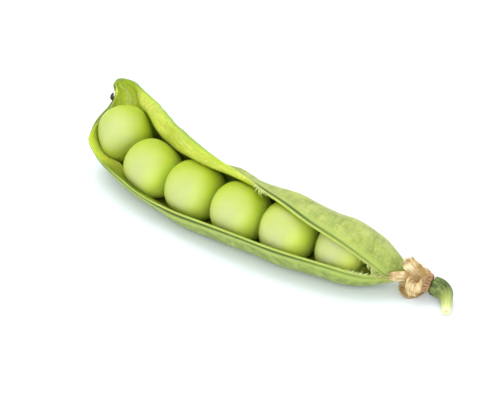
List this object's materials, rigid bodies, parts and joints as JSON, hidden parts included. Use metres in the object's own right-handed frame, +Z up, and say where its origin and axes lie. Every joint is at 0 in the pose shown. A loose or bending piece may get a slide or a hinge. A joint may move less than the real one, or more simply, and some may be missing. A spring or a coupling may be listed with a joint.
{
  "type": "pea pod",
  "caption": "Open garden pea pod lying on its side, its mouth showing a row of round green peas, with a dried calyx and a short bent stem",
  "frame": {"origin": "on the surface that the pod lies on, under the middle of its bounding box", "axes": "+Z up; the pod lies along X with its stem toward +X and its tip toward -X, and its mouth looks toward -Y and up"},
  "size_m": [0.0776, 0.0184, 0.0144],
  "materials": {
    "pod": "satin",
    "pea": "satin",
    "calyx": "matte",
    "stem": "matte"
  },
  "bodies": {
    "root": {"pod_shell": "pod", "pea_1": "pea", "pea_2": "pea", "pea_3": "pea", "pea_4": "pea", "pea_5": "pea", "pea_6": "pea", "calyx": "calyx", "stem": "stem"}
  },
  "joints": []
}
